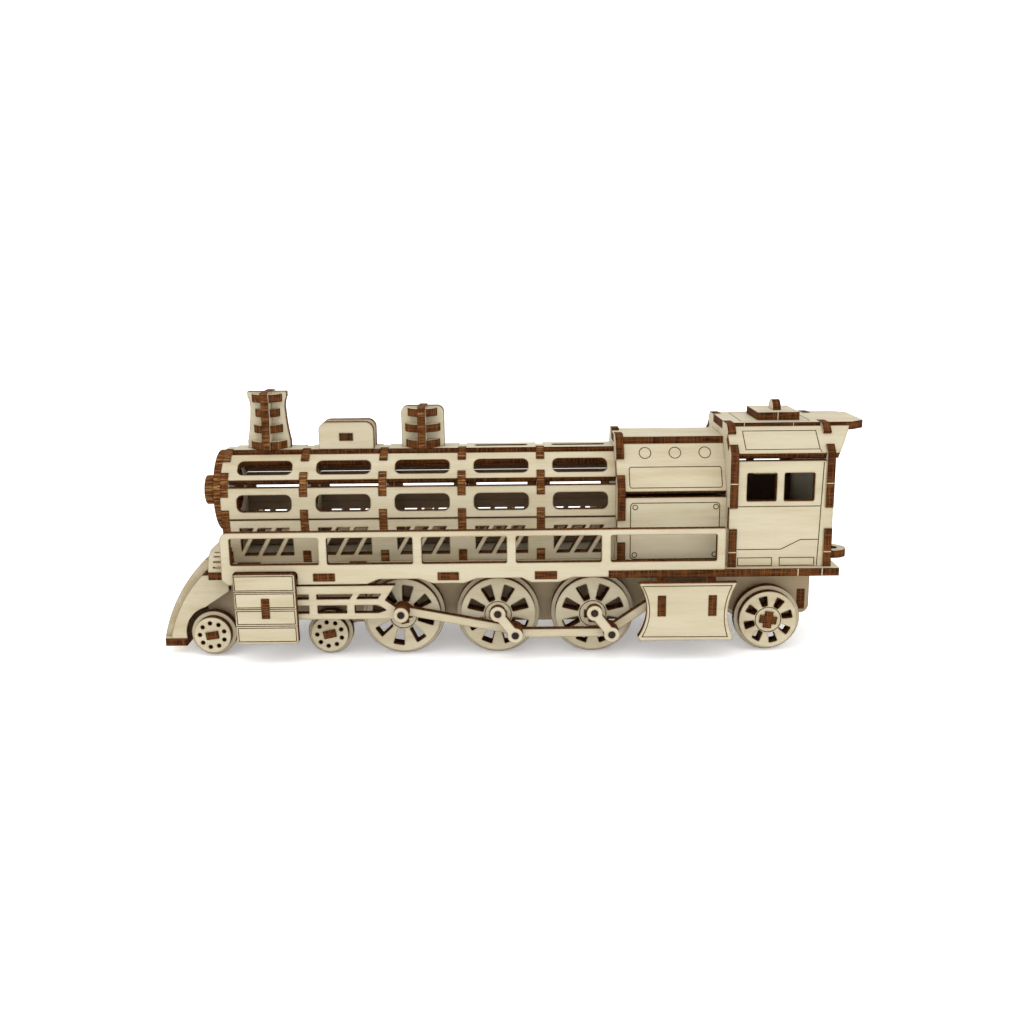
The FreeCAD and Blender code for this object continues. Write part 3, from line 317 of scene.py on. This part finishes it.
scorched_line = flecked("scorched_line", LINE_DARK, LINE_LIGHT, 0.85)
fresh_break = flecked("fresh_break", BIRCH_MID, BIRCH_LIGHT, 0.75)
tab_end = plywood("tab_end", Z, X, pale=0.4)

# ---------------------------------------------------------------- marks on the faces
LINE_WIDTH = 0.34
LINE_DEPTH = 0.05
PROUD = 0.02
PLY = 2.8


class Face:
    """An outer face. x runs along the locomotive and v up the slope from the face's middle height.
    tilt is the face's lean from level; y and z place its middle; side is -1 left or +1 right."""

    def __init__(self, tilt, y, z, side):
        lean = math.radians(tilt)
        self.middle = Vector((0, side * y, z))
        self.up = Vector((0, -side * math.cos(lean), math.sin(lean)))
        self.out = Vector((0, side * math.sin(lean), math.cos(lean)))

    def at(self, x, v, height):
        return (self.middle + Vector((x, 0, 0)) + v * self.up + height * self.out) * MM


def add_piece(name, vertices, faces, material, body):
    mesh = bpy.data.meshes.new(name)
    mesh.from_pydata(vertices, [], faces)
    mesh.materials.append(material)
    build = bmesh.new()
    build.from_mesh(mesh)
    bmesh.ops.recalc_face_normals(build, faces=build.faces)
    build.to_mesh(mesh)
    build.free()
    piece = bpy.data.objects.new(name, mesh)
    bpy.context.scene.collection.objects.link(piece)
    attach(piece, body)


def circle(x, v, radius, count=28):
    turns = [2 * math.pi * index / count for index in range(count)]
    points = [(x + radius * math.cos(turn), v + radius * math.sin(turn)) for turn in turns]
    return points + points[:1]


def rounded(low_x, low_v, high_x, high_v, radius=0.8, steps=4):
    """A rectangle with round corners."""
    points = []
    corners = ((high_x, high_v, 0), (low_x, high_v, 1), (low_x, low_v, 2), (high_x, low_v, 3))
    for corner_x, corner_v, quarter in corners:
        centre_x = corner_x - radius * (1 if quarter in (0, 3) else -1)
        centre_v = corner_v - radius * (1 if quarter in (0, 1) else -1)
        for step in range(steps + 1):
            turn = math.radians(90 * (quarter + step / steps))
            points.append((centre_x + radius * math.cos(turn), centre_v + radius * math.sin(turn)))
    return points + points[:1]


def polygon(*points):
    return list(points) + [points[0]]


def bow(start, end, bulge, steps=10):
    """A shallow curve from start to end that swells by bulge along x at its middle."""
    points = []
    for step in range(steps + 1):
        share = step / steps
        swell = 4 * bulge * share * (1 - share)
        x = start[0] + (end[0] - start[0]) * share + swell
        v = start[1] + (end[1] - start[1]) * share
        points.append((x, v))
    return points


def scored(name, face, lines, body="locomotive"):
    """Burnt lines on a face. Each is a list of (x, v) points, and closes if it ends on its first one."""
    vertices = []
    faces = []
    for points in lines:
        closed = points[0] == points[-1]
        spots = [Vector(point) for point in (points[:-1] if closed else points)]
        count = len(spots)
        start = len(vertices)
        for index, spot in enumerate(spots):
            before = spots[index - 1] if closed or index > 0 else None
            after = spots[(index + 1) % count] if closed or index < count - 1 else None
            arriving = (spot - before if before is not None else after - spot).normalized()
            leaving = (after - spot if after is not None else spot - before).normalized()
            square = Vector((-arriving.y, arriving.x))
            middle = Vector((-arriving.y - leaving.y, arriving.x + leaving.x)).normalized()
            reach = LINE_WIDTH / 2 / middle.dot(square)
            for offset in (-reach, reach):
                edge = spot + middle * offset
                for height in (-LINE_DEPTH, PROUD):
                    vertices.append(face.at(edge.x, edge.y, height))
        for index in range(count if closed else count - 1):
            a = start + 4 * index
            b = start + 4 * ((index + 1) % count)
            faces += [(a + 1, b + 1, b + 3, a + 3), (a, a + 2, b + 2, b), (a, b, b + 1, a + 1),
                      (a + 2, a + 3, b + 3, b + 2)]
        if not closed:
            end = start + 4 * (count - 1)
            faces += [(start, start + 1, start + 3, start + 2), (end, end + 2, end + 3, end + 1)]
    add_piece(name, vertices, faces, scorched_line, body)


def patch(name, face, spots, half_x, half_v, material):
    """Thin rectangles on a face, such as the pale break marks across its burnt edge."""
    vertices = []
    faces = []
    for x, v in spots:
        start = len(vertices)
        for height in (-LINE_DEPTH, PROUD):
            for sign_x, sign_v in ((-1, -1), (1, -1), (1, 1), (-1, 1)):
                vertices.append(face.at(x + sign_x * half_x, v + sign_v * half_v, height))
        faces += [(start, start + 1, start + 2, start + 3), (start + 4, start + 5, start + 6, start + 7)]
        for index in range(4):
            after = (index + 1) % 4
            faces.append((start + index, start + after, start + 4 + after, start + 4 + index))
    add_piece(name, vertices, faces, material, "locomotive")


COVER_LOW, COVER_TALL = 8.5, 23.5


def cover_edge(z, rear):
    """The x of a scored strip's end on the cylinder cover, which leans forward towards its top."""
    share = (z - COVER_LOW) / COVER_TALL
    return -73.9 - 0.4 * share if rear else -93.8 - 0.6 * share


def cover_strip(low, high):
    return polygon((cover_edge(low, False), low), (cover_edge(low, True), low),
                   (cover_edge(high, True), high), (cover_edge(high, False), high))


COVER_STRIPS = ((8.6, 13.5), (14.9, 19.6), (20.9, 25.8), (27.0, 32.0))
COVER_SEAMS = (14.2, 20.3, 26.4)
FIREBOX_DISCS = (48.2, 58.7, 69.2)
RIVETS = ((44.2, 52.6), (72.3, 52.6), (44.1, 35.5), (72.2, 35.5))
BREAK_HALF = 0.15
BREAK_REACH = PLY / 2 - 0.1
COVER_FACE = 31.9

for side_name, side in SIDES:
    scored(f"firebox_shoulder_lines_{side_name}", Face(59.7, 16.3, 65.8, side),
           [rounded(42.4, -7.6, 74.6, 0.1)] + [circle(x, 5.4, 2.05) for x in FIREBOX_DISCS])
    scored(f"firebox_side_lines_{side_name}", Face(90, 21.3, 0, side),
           [rounded(42.6, 34.0, 73.6, 54.1, 1.2)] + [circle(x, z, 0.85, 16) for x, z in RIVETS])
    cab_side = Face(90, 26.0, 0, side)
    scored(f"cab_side_lines_{side_name}", cab_side, [
        [(79.0, 53.5), (107.5, 53.5)],
        [(107.9, 68.9), (107.5, 53.5), (107.2, 41.7), (106.9, 32.3)],
        [(79.0, 38.3), (94.3, 38.3), (100.9, 41.7), (107.2, 41.7)],
        polygon((79.5, 32.5), (91.3, 32.5), (91.2, 35.3), (79.4, 35.3)),
        polygon((94.0, 32.5), (106.0, 32.5), (105.9, 35.3), (93.9, 35.3))])
    scored(f"cab_shoulder_lines_{side_name}", Face(42, 21.05, 76.0, side), [
        polygon((81.2, 3.8), (106.5, 3.8), (106.7, -4.4), (81.4, -4.4)),
        [(106.7, -4.4), (107.2, -5.8)]])
    cover = Face(90, COVER_FACE, 0, side)
    scored(f"cylinder_lines_{side_name}", cover,
           [cover_strip(low, high) for low, high in COVER_STRIPS]
           + [[(cover_edge(z, False) - 0.5, z), (cover_edge(z, True) + 0.5, z)] for z in COVER_SEAMS])
    scored(f"skirt_lines_{side_name}", cover,
           [bow((76.7, 27.1), (75.6, 8.7), -1.8) + bow((46.0, 8.9), (46.0, 27.1), 2.5) + [(76.7, 27.1)]])
    patch(f"cab_front_breaks_{side_name}", Face(90, 26.6, 0, side), ((77.4, 61.5), (77.4, 37.4)),
          BREAK_REACH, BREAK_HALF, fresh_break)
    patch(f"cab_rear_breaks_{side_name}", Face(90, 26.6, 0, side), ((110.3, 61.5), (110.3, 37.4)),
          BREAK_REACH, BREAK_HALF, fresh_break)
    patch(f"board_breaks_{side_name}", Face(90, 28.6, 30.7, side), ((100.0, 0), (108.3, 0)),
          BREAK_HALF, BREAK_REACH, fresh_break)
    patch(f"roof_breaks_{side_name}", Face(90, 14.9, 79.6, side), ((82.5, 0), (99.6, 0)),
          BREAK_HALF, BREAK_REACH, fresh_break)
    patch(f"hatch_break_{side_name}", Face(90, 9.4, 82.4, side), ((95.4, 0),),
          BREAK_HALF, BREAK_REACH, fresh_break)
    patch(f"sand_box_tab_{side_name}", Face(90, 5.4, 76.0, side), ((-57.7, 0),), 2.4, PLY / 2 - 0.05, tab_end)

ROOF_TOP = 81.0
scored("roof_lines", Face(0, 0, ROOF_TOP, -1), [rounded(82.0, -11.2, 106.3, 11.2, 0.5)])

WHEEL_FACE = 22.6
FIRST_DRIVER, DRIVER_PITCH = -37.5, 33.5
HUB_RINGS = [(f"driving_wheelset_{order + 1}", FIRST_DRIVER + DRIVER_PITCH * order, 14.7, 4.7)
             for order in range(3)]
HUB_RINGS.append(("trailing_wheelset", 91.7, 11.7, 4.55))
for body, hub_x, hub_z, radius in HUB_RINGS:
    for side_name, side in SIDES:
        scored(f"{body}_ring_{side_name}", Face(90, WHEEL_FACE, 0, side), [circle(hub_x, hub_z, radius)],
               body)

# ---------------------------------------------------------------- stage, light and camera
FLOOR_RADIUS = 1.3
SWEEP_RADIUS = 0.7
WALL_TOP = 1.4


def round_sweep(name, segments=96, bends=12):
    """A round floor whose rim curves up into a low wall, so no horizon shows from any side."""
    profile = [(FLOOR_RADIUS, 0.0)]
    for bend in range(1, bends + 1):
        turn = math.radians(90 * bend / bends)
        profile.append((FLOOR_RADIUS + SWEEP_RADIUS * math.sin(turn), SWEEP_RADIUS * (1 - math.cos(turn))))
    profile.append((FLOOR_RADIUS + SWEEP_RADIUS, WALL_TOP))
    vertices = [(0.0, 0.0, 0.0)]
    for radius, height in profile:
        for segment in range(segments):
            turn = 2 * math.pi * segment / segments
            vertices.append((radius * math.cos(turn), radius * math.sin(turn), height))
    faces = [(0, 1 + segment, 1 + (segment + 1) % segments) for segment in range(segments)]
    for row in range(len(profile) - 1):
        for segment in range(segments):
            a = 1 + row * segments + segment
            b = 1 + row * segments + (segment + 1) % segments
            faces.append((a, a + segments, b + segments, b))
    mesh = bpy.data.meshes.new(name)
    mesh.from_pydata(vertices, [], faces)
    mesh.polygons.foreach_set("use_smooth", [True] * len(mesh.polygons))
    sweep = bpy.data.objects.new(name, mesh)
    bpy.context.scene.collection.objects.link(sweep)
    return mesh


paint = Tree("sweep_paint")
shader = paint.add("ShaderNodeBsdfPrincipled")
shader.inputs["Base Color"].default_value = (0.95, 0.95, 0.945, 1)
shader.inputs["Roughness"].default_value = 0.9
shader.inputs["Emission Color"].default_value = (1, 1, 1, 1)
shader.inputs["Emission Strength"].default_value = 0.3
surface = paint.add("ShaderNodeOutputMaterial")
paint.link(shader.outputs[0], surface.inputs["Surface"])
round_sweep("sweep").materials.append(paint.material)

sun_data = bpy.data.lights.new("key", "SUN")
sun_data.energy = 1.5
sun_data.angle = math.radians(70)
sun = bpy.data.objects.new("key", sun_data)
SUN_PLACE = Vector((-0.25, -0.6, 1.6))
sun.rotation_euler = (-SUN_PLACE).to_track_quat("-Z", "Y").to_euler()
bpy.context.scene.collection.objects.link(sun)

world = bpy.data.worlds.new("studio")
world.use_nodes = True
background = world.node_tree.nodes["Background"]
background.inputs["Color"].default_value = (1, 1, 1, 1)
background.inputs["Strength"].default_value = 0.7
bpy.context.scene.world = world
bpy.context.scene.view_settings.view_transform = "Standard"

# The lens, as a focal length for a view this wide.
VIEW_WIDTH = 1024
FOCAL = 1120
camera_data = bpy.data.cameras.new("camera")
camera_data.sensor_width = 36.0
camera_data.lens = camera_data.sensor_width * FOCAL / VIEW_WIDTH
camera_data.clip_start = 0.01
camera = bpy.data.objects.new("camera", camera_data)
CAMERA_PLACE = Vector((1.3, -401.8, 136.5))
camera.location = CAMERA_PLACE * MM
PITCH_DOWN = math.radians(12.6)
ROLL = math.radians(-0.6)
tilt = Euler((math.pi / 2 - PITCH_DOWN, 0, 0)).to_matrix().to_4x4()
camera.rotation_euler = (tilt @ Matrix.Rotation(ROLL, 4, "Z")).to_euler()
bpy.context.scene.collection.objects.link(camera)
bpy.context.scene.camera = camera
